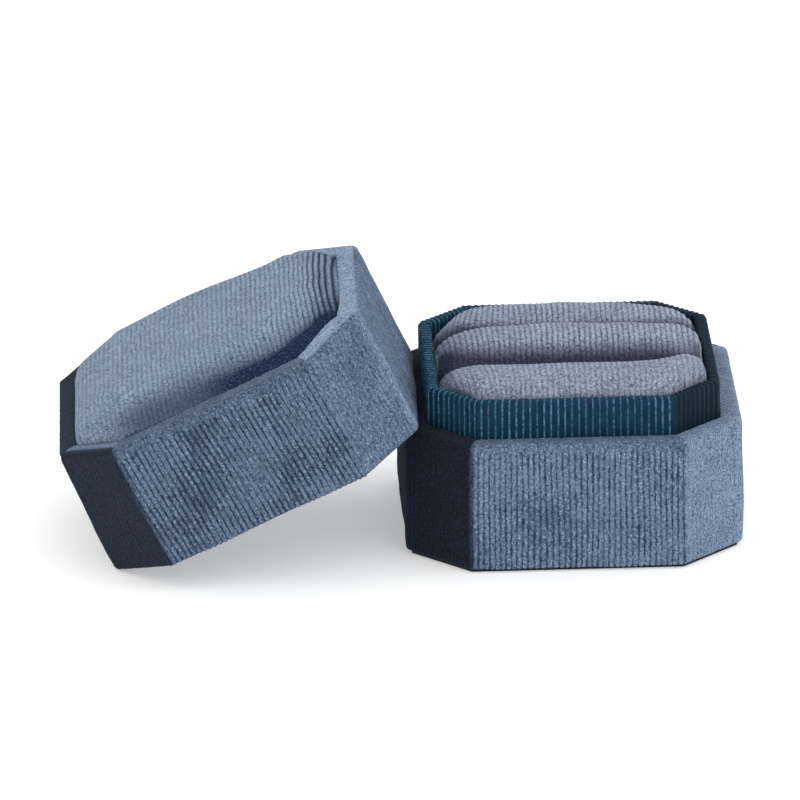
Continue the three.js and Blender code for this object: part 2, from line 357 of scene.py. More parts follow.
class Nodes:
    """A material's node tree, with short ways to add nodes and join them. Sizes are in millimetres."""

    def __init__(self, name):
        self.material = bpy.data.materials.new(name)
        self.material.use_nodes = True
        self.tree = self.material.node_tree
        self.shader = self.tree.nodes["Principled BSDF"]
        self.position = self.tree.nodes.new("ShaderNodeTexCoord").outputs["Object"]

    def fill(self, sockets, values):
        for socket, value in zip(sockets, values):
            if isinstance(value, bpy.types.NodeSocket):
                self.tree.links.new(value, socket)
            elif isinstance(value, tuple):
                socket.default_value = (*value, 1)
            else:
                socket.default_value = value

    def layer(self, name):
        node = self.tree.nodes.new("ShaderNodeAttribute")
        node.attribute_name = name
        return node.outputs["Fac"]

    def noise(self, size, detail, stretch=(1, 1, 1)):
        mapping = self.tree.nodes.new("ShaderNodeMapping")
        mapping.inputs["Scale"].default_value = [1 / s for s in stretch]
        noise = self.tree.nodes.new("ShaderNodeTexNoise")
        self.fill([mapping.inputs["Vector"]], [self.position])
        inputs = [noise.inputs[key] for key in ("Vector", "Scale", "Detail")]
        self.fill(inputs, [mapping.outputs[0], 1 / (size * MM), detail])
        return noise.outputs["Fac"]

    def ramp(self, value, low, high, floor=0.0, ceiling=1.0):
        node = self.tree.nodes.new("ShaderNodeMapRange")
        keys = ("Value", "From Min", "From Max", "To Min", "To Max")
        self.fill([node.inputs[key] for key in keys], [value, low, high, floor, ceiling])
        return node.outputs["Result"]

    def math(self, operation, first, second):
        node = self.tree.nodes.new("ShaderNodeMath")
        node.operation = operation
        self.fill(node.inputs[:2], [first, second])
        return node.outputs[0]

    def mix(self, share, first, second, blend="MIX"):
        node = self.tree.nodes.new("ShaderNodeMix")
        node.data_type = "RGBA"
        node.blend_type = blend
        inputs = [s for s in node.inputs if s.enabled]
        self.fill(inputs, [share, first, second])
        return next(s for s in node.outputs if s.enabled)

    def finish(self, colour, bump, depth, **constants):
        """Joins the colour and the bump to the shader, and sets its constant values."""
        node = self.tree.nodes.new("ShaderNodeBump")
        node.inputs["Distance"].default_value = depth * MM
        self.fill([node.inputs["Height"]], [bump])
        joined = [self.shader.inputs[key] for key in ("Base Color", "Normal")]
        self.fill(joined, [colour, node.outputs[0]])
        for key, value in constants.items():
            self.fill([self.shader.inputs[key.replace("_", " ")]], [value])
        return self.material


def velvet(name, groove, back, glint, dark, sheen=0.08):
    """Ribbed velvet: grooves darkened with painted shade, lighter rib backs and fibre tips painted with
    bright glints. Where tone is 0 it is painted shade with darker nap, at 1 it is plain, and at 2 a painted
    highlight."""
    n = Nodes(name)
    ridge, tone = n.layer("ridge"), n.layer("tone")
    # Painted shade in the grooves: the ridge value mixes the groove colour towards the rib back colour.
    pile = n.mix(n.ramp(ridge, 0.1, 0.9), groove, back)
    mottled = n.mix(n.ramp(n.noise(3.5, 3), 0.35, 0.7, 0, 0.35), pile, groove)
    # Painted glints on the fibre tips, stronger on the rib backs.
    tips = n.ramp(n.noise(0.26, 2), 0.52, 0.7, 0, 0.75)
    tips = n.math("MULTIPLY", tips, n.ramp(ridge, 0.1, 0.8, 0.15, 1.0))
    lit = n.mix(tips, mottled, glint)
    gaps = n.mix(n.ramp(n.noise(0.36, 2, (1, 1, 1.5)), 0.34, 0.5), (0.4, 0.43, 0.5), (1, 1, 1))
    shaded = n.mix(1.0, lit, gaps, "MULTIPLY")
    # Painted shade, with darker nap, where tone falls towards 0.
    night = n.mix(n.ramp(n.noise(0.3, 2), 0.5, 0.75, 0, 0.7), dark, groove)
    toned = n.mix(n.ramp(tone, 0, 1), night, shaded)
    # Painted highlight: sparkle in the glint colour where tone rises above 1.
    sparkle = n.ramp(n.noise(0.24, 2), 0.4, 0.62, 0, 1.25)
    bright = n.mix(n.math("MULTIPLY", n.ramp(tone, 1, 2), sparkle), toned, glint)
    return n.finish(
        bright,
        n.noise(0.2, 2),
        0.15,
        Roughness=0.95,
        Specular_IOR_Level=0.1,
        Sheen_Weight=sheen,
        Sheen_Roughness=0.5,
        Sheen_Tint=glint,
    )


def ribbon():
    """Ribbed ribbon: deep teal between narrow, lighter ridges that are a beaded thread."""
    n = Nodes("collar_ribbon")
    ridge, tone = n.layer("ridge"), n.layer("tone")
    beads = n.ramp(n.noise(0.3, 1, (1, 1, 1.2)), 0.38, 0.62, 0.1, 1)
    thread = n.mix(beads, (0.006, 0.045, 0.085), (0.09, 0.23, 0.31))
    deep = n.mix(n.ramp(n.noise(0.6, 2, (1, 1, 4)), 0.3, 0.7), (0.001, 0.016, 0.038), (0.004, 0.032, 0.066))
    raised = n.ramp(ridge, 0.3, 0.85)
    worn = n.math("MULTIPLY", raised, n.ramp(n.noise(2.5, 1, (1, 1, 3)), 0.35, 0.6, 0.5, 1))
    colour = n.mix(worn, deep, thread)
    toned = n.mix(n.ramp(tone, 0, 1), (0.0, 0.006, 0.013), colour)
    return n.finish(toned, n.noise(0.16, 1, (3, 3, 1)), 0.04, Roughness=0.7, Specular_IOR_Level=0.14)


def fibrous(name, low, high, size, depth, roughness=0.9):
    """A matt board, paper or foam between two colours, with marks about size across."""
    n = Nodes(name)
    colour = n.mix(n.ramp(n.noise(size, 4), 0.35, 0.65), low, high)
    marks = n.noise(size / 3, 3)
    return n.finish(colour, marks, depth, Roughness=roughness, Specular_IOR_Level=0.25)


def satin():
    n = Nodes("lid_lining")
    weave = n.noise(0.25, 1, (6, 1, 1))
    colour = n.mix(weave, (0.17, 0.22, 0.29), (0.31, 0.37, 0.45))
    return n.finish(colour, weave, 0.03, Roughness=0.38, Specular_IOR_Level=0.5, Sheen_Weight=0.15)


# The glint colours are painted highlights, and the dark colours are painted shade.
OUTER = {"groove": (0.018, 0.038, 0.075), "back": (0.15, 0.215, 0.31), "glint": (0.4, 0.5, 0.64)}
PANEL = {"groove": (0.08, 0.118, 0.178), "back": (0.235, 0.305, 0.395), "glint": (0.44, 0.53, 0.63)}
PAD = {"groove": (0.08, 0.095, 0.155), "back": (0.29, 0.34, 0.43), "glint": (0.52, 0.58, 0.67)}
MATERIALS = {
    "outer_velvet": velvet("outer_velvet", dark=(0.006, 0.008, 0.015), **OUTER),
    "panel_velvet": velvet("panel_velvet", dark=(0.004, 0.016, 0.045), sheen=0.03, **PANEL),
    "pad_velvet": velvet("pad_velvet", dark=(0.018, 0.02, 0.045), **PAD),
    "collar_ribbon": ribbon(),
    "lid_lining": satin(),
    "board": fibrous("board", (0.3, 0.27, 0.22), (0.42, 0.38, 0.32), 0.8, 0.03),
    "card": fibrous("card", (0.6, 0.57, 0.52), (0.72, 0.69, 0.64), 0.6, 0.02, 0.85),
    "foam": fibrous("foam", (0.62, 0.58, 0.47), (0.82, 0.78, 0.66), 0.5, 0.15, 0.95),
    "underside_paper": fibrous("underside_paper", (0.012, 0.014, 0.018), (0.028, 0.03, 0.037), 0.5, 0.02),
}


def finish_piece(piece, slot, body, *nodes):
    """Gives a piece its material, its body and its slot, and hides the CAD nodes that it stands for."""
    piece.data.materials.append(MATERIALS[slot])
    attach(piece, body)
    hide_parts(*nodes)


def paint_frame():
    """The boards, cards and papers keep their CAD shape and get their own material."""
    slots = {row["node"]: row["material_slot"] for row in frame["record"]["subparts"]}
    for name, node in frame["nodes"].items():
        node.data.materials.clear()
        node.data.materials.append(MATERIALS[slots[name]])


# ---------------------------------------------------------------- velvet and ribbon bands


def left_shade_and_nap(octagon):
    """0 on the sides that face left, painted in shade as if lit from the right, where the nap also lies away
    from the light, and 1 elsewhere.
    """
    facing_front = smoothstep(-0.62, -0.3, octagon.normals[:, 0])
    return smoothstep(0.45, 0.98, octagon.softened(facing_front, 2.2))


def painted_edge_highlight(octagon):
    """Up to 1 at the upright edges on the right: a painted highlight where the nap stands up and catches the
    light.
    """
    edges = octagon.rounded & (octagon.normals[:, 0] > 0.72)
    return np.minimum(2 * octagon.softened(edges.astype(float), 1.6), 1)


def rib_strength(normals):
    """The ribs are pressed flat on the sides that face right, and nearly so on those that face left."""
    return 1 - 0.8 * smoothstep(0.3, 0.65, normals[:, 0]) - 0.75 * smoothstep(-0.3, -0.65, normals[:, 0])


def ribbed_wall(octagon, profile, weights, seed, slant=0.0, contrast=1.0):
    """The lift and the ridge value of each point of a ribbed velvet band. The ribs lean by slant."""
    arc, length = octagon.arc(0)
    pitch = length / round(length / RIB_PITCH)
    wobble, swell = Waves(seed, 8), Waves(seed + 1, 11)
    strength = rib_strength(octagon.normals)
    shape = (len(weights), len(arc))
    fuzz = grain(shape, seed + 2)
    lift, ridge = [], []
    for (inset, height), weight, fibres in zip(profile[0], weights, fuzz):
        place = np.column_stack([octagon.points(0), np.full(len(arc), height - inset)])
        rib = ribs(arc + slant * height + 0.12 * wobble(place * (1, 1, 0.5)), pitch)
        softer = 1 + 0.3 * swell(place)
        lift.append(weight * (strength * RIB_HEIGHT * rib * softer + 0.07 * swell(place)) + 0.035 * fibres)
        backs = np.clip(rib * softer, 0, 1.1) - PLAIN_RIDGE
        full = PLAIN_RIDGE + contrast * weight * strength * backs
        ridge.append(full + FIBRE_MARKS * fibres)
    return np.array(lift), np.array(ridge)


def tray_velvet():
    """One strip: turned under the floor, up the outside, over the ledge and down behind the collar."""
    octagon = Octagon(RIB_PITCH / COLUMNS_PER_RIB)
    ledge = LEDGE_HEIGHT
    hem_top = HEM_BOTTOM + TURNED_VELVET
    profile = folded_path(
        [
            (TUCK_INSET, TUCK_BOTTOM, 0.1, 2),
            (WALL_POCKET_INSET, TUCK_BOTTOM, 0.1, 5),
            (WALL_POCKET_INSET, ledge - VELVET, 0.1, 2),
            (VELVET, ledge - VELVET, 0.1, 5),
            (VELVET, hem_top, 0.1, 3),
            (HEM_WIDTH, hem_top, 0.1, 2),
            (HEM_WIDTH, HEM_BOTTOM, 0.1, 1.5),
            (0, HEM_BOTTOM, 0.8, 0.54),
            (0, ledge, 1.1, 0.35),
            (TUCK_INSET, ledge, 0.45, 1.2),
        ]
    )
    places, normals = profile
    outside = (places[:, 0] < 0.5) & (normals[:, 0] > 0.5)
    weights = np.where(outside, smoothstep(ledge - 0.7, ledge - 1.9, places[:, 1]), 0)
    lift, ridge = ribbed_wall(octagon, profile, weights, TRAY_SEED)
    hidden = (places[:, 0] > 0.5) & (places[:, 1] < ledge - 0.5)
    lift[hidden] = 0
    # Painted shade on the left, with darker nap, and painted light on the sides and edges that face right.
    painted_light_right = 0.35 * smoothstep(0.3, 0.7, octagon.normals[:, 0])
    tone = 0.95 * left_shade_and_nap(octagon) + painted_light_right + 0.2 * painted_edge_highlight(octagon)
    piece = band("tray_velvet", octagon, profile, lift, {"ridge": ridge, "tone": tone})
    finish_piece(piece, "outer_velvet", "tray", "base_velvet_wrap")


def lid_side_velvet():
    """One strip: under the rim, up the outside, over the wall's top edge and down to the top board."""
    octagon = Octagon(RIB_PITCH / COLUMNS_PER_RIB)
    profile = folded_path(
        [
            (TUCK_INSET, LID_TOP_BOARD, 0.1, 2),
            (WALL_POCKET_INSET, LID_TOP_BOARD, 0.1, 2),
            (WALL_POCKET_INSET, LID_HEIGHT - VELVET, 0.1, 2),
            (VELVET, LID_HEIGHT - VELVET, 0.1, 5),
            (VELVET, VELVET, 0.1, 2),
            (WALL_POCKET_INSET, VELVET, 0.1, 2),
            (WALL_POCKET_INSET, 0, 0.1, 0.5),
            (0, 0, 0.7, 0.54),
            (0, LID_HEIGHT, 1.0, 0.35),
            (TUCK_INSET, LID_HEIGHT, 0.2, 0.35),
        ]
    )
    places, normals = profile
    outside = (places[:, 0] < 0.5) & (normals[:, 0] > 0.5)
    weights = np.where(outside, smoothstep(LID_HEIGHT - 1.0, LID_HEIGHT - 2.4, places[:, 1]), 0)
    lift, ridge = ribbed_wall(octagon, profile, weights, LID_SEED, LID_RIB_LEAN, LID_RIB_CONTRAST)
    pocket = (places[:, 0] > 0.5) & (places[:, 1] < LID_HEIGHT - 0.4) & (normals[:, 1] <= 0)
    lift[pocket] = 0
    facing = octagon.normals[:, 0]
    # Painted shade on the left, with darker nap, and painted light on the sides and edges that face right.
    tone = 0.05 + 0.71 * left_shade_and_nap(octagon) + 0.2 * smoothstep(0.3, 0.7, facing) + 0.4 * painted_edge_highlight(octagon)
    tone = np.tile(tone, (len(places), 1))
    # The rim's top is painted dark on the left with shade and darker nap, plain in front, and painted
    # lighter at the other sides where it catches the light.
    fold = np.interp(facing, [-0.9, -0.8, -0.6, -0.4], [3.3, 1.5, 1.5, 0.3])
    fold = np.where((facing < -0.5) & (octagon.normals[:, 1] > 0.3), 3.3, fold)
    light = np.interp(facing, [-0.5, -0.2, 0.2, 0.6, 0.8], [1.1, 0.68, 0.68, 1.5, 1.6])
    top = np.where(normals[:, 1] > 0.6, places[:, 0], -1)[:, None]
    tone += (light - tone) * smoothstep(fold, fold + 0.4, top)
    # The left wall leans in a little towards the top, and the rim stands proud at the right front corner.
    lift -= LEFT_LEAN * smoothstep(-0.5, -0.95, facing) * np.where(
        normals[:, 0] > 0.5, smoothstep(4, LID_HEIGHT, places[:, 1]), 0
    )[:, None]
    corner = np.linalg.norm(octagon.points(1.5) - PROUD_CORNER, axis=1)
    lift += np.outer(smoothstep(0.5, 0.9, normals[:, 1]), PROUD_RIM * np.exp(-((corner / PROUD_REACH) ** 2)))
    piece = band("lid_side_velvet_wrap", octagon, profile, lift, {"ridge": ridge, "tone": tone}, LID_FRAME)
    finish_piece(piece, "outer_velvet", "lid", "lid_side_velvet")


def collar_ribbon():
    """Ribbed ribbon over the collar, its narrow ridges running up the outside and over the edge."""
    octagon = Octagon(0.13, 8)
    arc, length = octagon.arc(COLLAR_INSET)
    pitch = length / round(length / RIDGE_PITCH)
    top = COLLAR_TOP
    turned = COLLAR_TOP - RIBBON_TURN
    under = COLLAR_TOP - RIBBON
    profile = folded_path(
        [
            (COLLAR_INSET + RIBBON, TUCK_BOTTOM, 0.05, 2),
            (COLLAR_INSET, TUCK_BOTTOM, 0.05, 0.6),
            (COLLAR_INSET, top, 0.6, 0.4),
            (WELL_INSET, top, 0.6, 0.6),
            (WELL_INSET, turned, 0.05, 2),
            (WELL_INSET - RIBBON, turned, 0.05, 2),
            (WELL_INSET - RIBBON, under, 0.05, 2),
            (COLLAR_INSET + RIBBON, under, 0.05, 2),
        ]
    )
    places, normals = profile
    inside_pocket = (places[:, 0] > COLLAR_INSET + 0.2) & (places[:, 0] < WELL_INSET - 0.2)
    inside_pocket &= places[:, 1] < top - 0.15
    stripe = np.abs((arc / pitch) % 1 - 0.5)
    ridge = np.exp(-((stripe / 0.15) ** 2))
    beads = grain((len(places), len(arc)), COLLAR_SEED)
    shown = np.where(inside_pocket, 0, 1)[:, None]
    lift = shown * (RIDGE_HEIGHT * ridge + 0.012 * beads)
    # The ribbon is painted darker on the sides that face right.
    tone = 1 - 0.8 * smoothstep(0.3, 0.65, octagon.normals[:, 0])
    layers = {"ridge": ridge + 0.12 * beads, "tone": tone}
    piece = band("collar_ribbon_cover", octagon, profile, lift, layers)
    finish_piece(piece, "collar_ribbon", "tray", "collar_ribbon")


# ---------------------------------------------------------------- padded pieces

CLOTH_SCALE = 40  # the cloth is simulated this many times larger, where Blender's units suit it
CLOTH_FRAMES = 20


def puffed(points, held, pressure, cap):
    """How far each point of a coarse closed cover moves, in millimetres, when its filling pushes it out.
    Held points stay, and no point moves further than the cap."""
    cover = grid_mesh("cover", points * CLOTH_SCALE, False, {})
    pins = cover.vertex_groups.new(name="held")
    pins.add([int(i) for i in np.flatnonzero(held)], 1, "ADD")
    cloth = cover.modifiers.new("cloth", "CLOTH")
    settings = cloth.settings
    settings.quality = 6
    settings.mass = 0.3
    settings.tension_stiffness = 12
    settings.compression_stiffness = 12
    settings.shear_stiffness = 6
    settings.bending_stiffness = 0.8
    settings.vertex_group_mass = "held"
    settings.use_pressure = True
    settings.uniform_pressure_force = pressure
    settings.effector_weights.gravity = 0
    cloth.collision_settings.use_collision = False
    scene = bpy.context.scene
    for step in range(1, CLOTH_FRAMES + 1):
        scene.frame_set(step)
    blown = cover.evaluated_get(bpy.context.evaluated_depsgraph_get())
    flat = np.empty(points.size, np.float32)
    blown.data.vertices.foreach_get("co", flat)
    bpy.data.objects.remove(cover)
    scene.frame_set(1)
    moved = flat.reshape(points.shape) / (CLOTH_SCALE * MM) - points
    far = np.linalg.norm(moved, axis=2, keepdims=True)
    return moved * np.minimum(1, cap / np.maximum(far, 1e-6))


class Cushion:
    """A closed padded form over a footprint: a flat bottom, upright sides and a top given by a height
    field. Turn is the place round its section at one x: 0 is the middle of the bottom, 0.2 to 0.8 the
    top from front to back. Its outline is the box's octagon drawn in by inset."""

    def __init__(self, inset, bottom):
        self.half = BOX_WIDTH / 2 - inset
        self.reach = (BOX_WIDTH - CORNER_LEG) - inset * math.sqrt(2)
        self.bottom = bottom

    def depth(self, x):
        """How far the outline is from the middle line at x, to the front and to the back."""
        return np.minimum(self.half, self.reach - np.abs(x))

    def corner(self, x, y, right, back):
        """Distance from the cut corner on the right or left (1 or -1) and at the back or front."""
        return (self.reach - right * x - back * y) / math.sqrt(2)

    def points(self, turn, x):
        stops = [0, 0.1, 0.2, 0.8, 0.9, 1]
        share = np.interp(turn, stops, [0.5, 0, 0, 1, 1, 0.5])[:, None]
        rise = np.interp(turn, stops, [0, 0, 1, 1, 0, 0])[:, None]
        front, back = self.span(x)
        y = front + share * (back - front)
        z = self.bottom + rise * (self.height(x + 0 * y, y) - self.bottom)
        return np.stack([x + 0 * y, y, z], -1)


def round_edge(distance, width):
    """A quarter of an ellipse: 0 at an edge and 1 from width inwards."""
    t = np.clip(distance / width, 0, 1)
    return np.sqrt(1 - (1 - t) ** 2)


def edge_fall(distance, drop, width):
    """How far a surface has fallen at a distance from an edge: by drop at the edge, and 0 from width."""
    return drop * (1 - round_edge(distance, width))


def turns(count, top_share):
    """Places round a section, most of them on its top and there closest to the edges."""
    t = (np.arange(count) + 0.5) / count
    low = (1 - top_share) / 2
    stops = [0, low / 2, low, 1 - low, 1 - low / 2, 1]
    even = np.interp(t, stops, [0, 0.1, 0.2, 0.8, 0.9, 1])
    on_top = np.clip((even - 0.2) / 0.6, 0, 1)
    return even - 0.6 * 0.1 * np.sin(2 * math.pi * on_top)


def puffed_points(cushion, turn, x, coarse, top_share, pressure, cap):
    """The cushion's points at turn and x, moved as its coarse cover moves when it is filled."""
    rows, columns = coarse
    rough_turn = turns(rows, top_share)
    rough_x = cushion.half * np.sin(np.linspace(-1, 1, columns) * math.pi / 2)
    held = np.ones((rows, columns), bool)
    top = (rough_turn > 0.22) & (rough_turn < 0.78)
    held[np.ix_(top, np.arange(1, columns - 1))] = False
    moved = puffed(cushion.points(rough_turn, rough_x), held.ravel(), pressure, cap)
    moved[..., :2] = np.clip(moved[..., :2], -0.12, 0.12)
    by_row = cubic_weights(rows, np.interp(turn, rough_turn, np.arange(rows)))
    by_column = cubic_weights(columns, np.interp(x, rough_x, np.arange(columns)))
    return cushion.points(turn, x) + np.einsum("ri,ijk,cj->rck", by_row, moved, by_column)


class Roll(Cushion):
    """One of the ring pad's three rolls. Outer is -1 on the front roll, 1 on the back one and 0 on the
    middle one: the way to its side that meets the collar. The rolls fall to a hollow at the left. At the
    right the front slot closes, and the back one stays open."""

    SLOT_DEPTH = 7.0
    FRONT_SLOT_END = 1.3
    BACK_SLOT_END = 4.5
    OUTER_HEIGHT = 24.9

    def __init__(self, name, outer, lean, settle, shaded):
        super().__init__(PAD_INSET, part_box("pad_card")[1].z / MM + 0.1)
        low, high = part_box(name + "_roll_velvet")
        self.low, self.high = low.y / MM, high.y / MM
        self.crest = high.z / MM - settle
        self.outer = outer
        self.lean = lean
        self.shaded = shaded  # how far below the crest the painted shade reaches in a slot

    def span(self, x):
        return np.maximum(self.low, -self.depth(x)), np.minimum(self.high, self.depth(x))

    def slot(self, x, back):
        """Depth of the slot on the roll's front or back side."""
        behind_middle = (self.low + self.high) / 2 * 2 + back * 6 > 0
        end = np.where(behind_middle, self.BACK_SLOT_END, self.FRONT_SLOT_END)
        return self.SLOT_DEPTH + (end - self.SLOT_DEPTH) * smoothstep(10.5, 17.5, x)

    def height(self, x, y):
        centre = (self.low + self.high) / 2
        crown = self.crest + self.lean * x / self.half
        if self.outer >= 0:
            crown = crown - 1.5 * np.abs(x / self.half) ** 3
        across = np.clip((y - centre) / (self.high - centre), -1, 1)
        outer = self.crest - self.OUTER_HEIGHT
        side = np.where(across * self.outer > 0, outer, self.slot(x, np.sign(across)))
        fall = side * (1 - np.sqrt(1 - 0.995 * np.abs(across) ** 2.3))
        fall = fall + edge_fall(self.half + x, 2.8, 7.0)
        fall = fall + edge_fall(self.half - x, 1.8, 3.5)
        if self.outer:
            fall = fall + edge_fall(self.corner(x, y, -1, self.outer), 1.4, 3.5)
            fall = fall + edge_fall(self.corner(x, y, 1, self.outer), 0.6, 2.0)
        return crown - fall


def ring_roll(name, roll):
    seed = ROLL_SEEDS[name]
    rows, columns = 130, round(2 * roll.half / RIB_PITCH * COLUMNS_PER_RIB)
    turn = turns(rows, 0.8)
    x = np.linspace(-roll.half, roll.half, columns)
    points = puffed_points(roll, turn, x, (48, 44), 0.8, 1.5, 0.5)
    # The fabric is drawn round at the left end, where its ribs fan out.
    centre = (roll.low + roll.high) / 2
    spread = np.where(roll.outer == 0, 0.4, -roll.outer)
    fan = 0.2 * smoothstep(-6, -17, x) * (points[..., 1] - centre) * spread
    wobble, swell = Waves(seed, 7), Waves(seed + 1, 9)
    rib = ribs(x + fan + 0.06 * wobble(points), RIB_PITCH * 0.96)
    fibres = grain((rows, columns), seed + 2)
    shown = ((turn > 0.17) & (turn < 0.83))[:, None]
    relief = 0.55 if roll.outer < 0 else 1.0  # the front roll's ribs are brushed flatter
    lift = shown * (0.14 * relief * rib * (1 + 0.3 * swell(points)) + 0.08 * swell(points) + 0.03 * fibres)
    normals = grid_normals(points, False)
    surface = points + normals * lift[..., None]
    # Painted shade down in the slots and on the front roll's outer face below its crest, and painted shade
    # with darker nap where the rolls fall away to the left.
    slot_shade = smoothstep(roll.crest - 0.15 * roll.shaded, roll.crest - roll.shaded, points[..., 2])
    across = (points[..., 1] - centre) / (roll.high - centre)
    slotward = -across * roll.outer if roll.outer else np.abs(across)
    slot_shade *= smoothstep(0.1, 0.6, slotward) * (np.abs(x) < roll.half - 0.2)
    leftward = smoothstep(0.25, 0.8, -normals[..., 0]) * (0.15 if roll.outer > 0 else 0.5)
    outside = smoothstep(roll.crest - 0.5, roll.crest - 3, points[..., 2]) * (roll.outer < 0)
    ridge = PLAIN_RIDGE + relief * (rib - PLAIN_RIDGE) + FIBRE_MARKS * fibres
    layers = {"ridge": ridge, "tone": np.maximum(1.05 - 0.95 * slot_shade - leftward - 0.15 * outside, 0)}
    cover = grid_mesh(name + "_roll_cover", surface, False, layers)
    finish_piece(cover, "pad_velvet", "ring_pad", name + "_roll_velvet")
    inner = roll_core(roll, turn[::2], x[::4])
    core = grid_mesh(name + "_roll_core", inner, False, {})
    finish_piece(core, "foam", "ring_pad", name + "_roll_foam")


def roll_core(roll, turn, x):
    """The foam inside a roll, smaller than its cover by the velvet's thickness on every side."""
    skin = TURNED_VELVET + 0.1
    points = roll.points(turn, x * (1 - skin / roll.half))
    front, back = roll.span(x)
    middle = (front + back) / 2
    points[..., 1] = middle + (points[..., 1] - middle) * (1 - 2 * skin / (back - front))
    lowered = 1 - skin / (roll.crest - roll.bottom - 6)
    points[..., 2] = roll.bottom + (points[..., 2] - roll.bottom) * lowered
    return points


def ring_pad():
    ring_roll("front", Roll("front", -1, 0.1, 0.1, 4.2))
    ring_roll("middle", Roll("middle", 0, 0.0, 0.15, 3.2))
    ring_roll("back", Roll("back", 1, -0.1, 0.85, 1.7))


class Panel(Cushion):
    """The lid's padded top, in the lid's own frame. It is crowned, tight against the rim on the left and
    at the back, and falls away to a crease along the front that deepens to the right."""

    CROWN = 22.0
    CREASE = 18.4

    def __init__(self):
        super().__init__(PANEL_INSET, LID_TOP_BOARD)
        self.waves = Waves(PANEL_SHAPE_SEED, 20)

    def span(self, x):
        return -self.depth(x), self.depth(x)

    def from_crease(self, x, y):
        """Distance from the crease, along the front and the right front corner."""
        front = self.half + y
        corner = self.corner(x, y, 1, -1) + 0.4
        return np.minimum(front, corner) - 0.6 * np.exp(-(((front - corner) / 3) ** 2))

    def deep(self, x):
        return smoothstep(-20, 14, x)

    def height(self, x, y):
        back = self.half - y
        rear = np.minimum(back, np.minimum(self.corner(x, y, 1, 1), self.corner(x, y, -1, 1)))
        deep = self.deep(x)
        crown = self.CROWN + 0.16 * self.waves(np.stack([x, y, 0 * x], -1))
        crown = crown + 0.5 * np.clip(1 - ((x + 5) / 16) ** 2, 0, 1)
        fall = edge_fall(rear, 2.1, 3.2)
        fall = fall + edge_fall(self.half + x, 1.9, 2.5)
        fall = fall + edge_fall(self.half - x, 2.5, 3.8)
        crease = self.from_crease(x, y)
        start = smoothstep(-21, -9, x)
        fall = fall + start * (1.3 + 0.9 * deep) * (1 - smoothstep(0.0, 14.0, crease))
        fall = fall + start * (0.5 + 1.1 * deep) * (1 - smoothstep(0.0, 5.0, crease))
        fall = fall + edge_fall(self.corner(x, y, -1, -1), 1.8, 2.5)
        return np.maximum(crown - fall, self.CREASE)


def lid_panel():
    panel = Panel()
    rows, columns = 220, round(2 * panel.half / RIB_PITCH * COLUMNS_PER_RIB)
    turn = turns(rows, 0.93)
    x = np.linspace(-panel.half, panel.half, columns)
    points = puffed_points(panel, turn, x, (60, 44), 0.9, 0.8, 0.3)
    wobble, swell = Waves(PANEL_RIB_SEED, 9), Waves(PANEL_RIB_SEED + 1, 11)
    on_top = ((turn > 0.19) & (turn < 0.81))[:, None]
    rib = ribs(x + 0.08 * wobble(points), RIB_PITCH * 0.93)
    # The ribs are pressed on the left, and open up where the cover turns down at the right.
    strength = np.interp(x, [-20, 4, 14, 17, 19], [0.5, 0.7, 1.0, 1.3, 2.2])
    fibres = grain((rows, columns), PANEL_RIB_SEED + 2)
    lift = on_top * (0.11 * strength * rib * (1 + 0.3 * swell(points)) + 0.03 * fibres)
    normals = grid_normals(points, False)
    surface = points + normals * lift[..., None]
    # Painted shade darkens the nap towards the crease and is black at the bottom of its deep end, and
    # darkens the grooves at the right edge where the cover turns down.
    crease = panel.from_crease(points[..., 0], points[..., 1])
    deep = panel.deep(points[..., 0])
    shade = 0.78 * smoothstep(-21, -9, points[..., 0]) * (1 - smoothstep(2, 11, crease))
    shade += 0.8 * deep**4 * (1 - smoothstep(3.2, 6.4, crease))
    right = smoothstep(panel.half - 5, panel.half - 1.5, points[..., 0]) * (0.2 + 1.1 * (1 - rib))
    ridge = PLAIN_RIDGE + np.minimum(strength, 1.7) * (rib - PLAIN_RIDGE) + FIBRE_MARKS * fibres
    layers = {"ridge": ridge, "tone": np.maximum(1.05 - shade - right, 0)}
    cover = grid_mesh("lid_panel_cover", surface, False, layers, LID_FRAME)
    finish_piece(cover, "panel_velvet", "lid", "lid_panel_velvet")
    lid_panel_pad(panel, turn[::3])


def lid_panel_pad(panel, turn):
    """The thin foam between the panel's card and its cover."""
    base = PANEL_CARD_TOP + 0.1
    x = np.linspace(-panel.half + 0.8, panel.half - 0.8, 80)
    points = panel.points(turn, x)
    points[..., 1] *= 1 - 0.8 / panel.depth(x)
    top = np.maximum(points[..., 2] - 0.75, base + 0.04)
    points[..., 2] = np.where(points[..., 2] > panel.bottom + 0.1, top, base)
    pad = grid_mesh("lid_panel_pad", points, False, {}, LID_FRAME)
    finish_piece(pad, "foam", "lid", "lid_panel_foam")


def lid_wall_lining():
    """The soft strip round the inside of the lid's wall."""
    octagon = Octagon(0.6)
    inner = LINING_INSET + LINING
    profile = folded_path(
        [
            (LINING_INSET, VELVET, 0.1, 1.2),
            (LINING_INSET, CAVITY_TOP - 0.1, 0.1, 0.5),
            (inner, CAVITY_TOP - 0.1, 0.1, 0.6),
            (inner, VELVET, 0.1, 0.5),
        ]
    )
    places, normals = profile
    swell = Waves(STRIP_SEED, 9)
    outline = octagon.points(inner)
    lift = [
        0.09 * (out < -0.5) * swell(np.column_stack([outline, np.full(len(outline), height)]))
        for height, out in zip(places[:, 1], normals[:, 0])
    ]
    strip = band("lid_wall_lining_strip", octagon, profile, lift, {}, LID_FRAME)
    finish_piece(strip, "lid_lining", "lid", "lid_wall_lining")


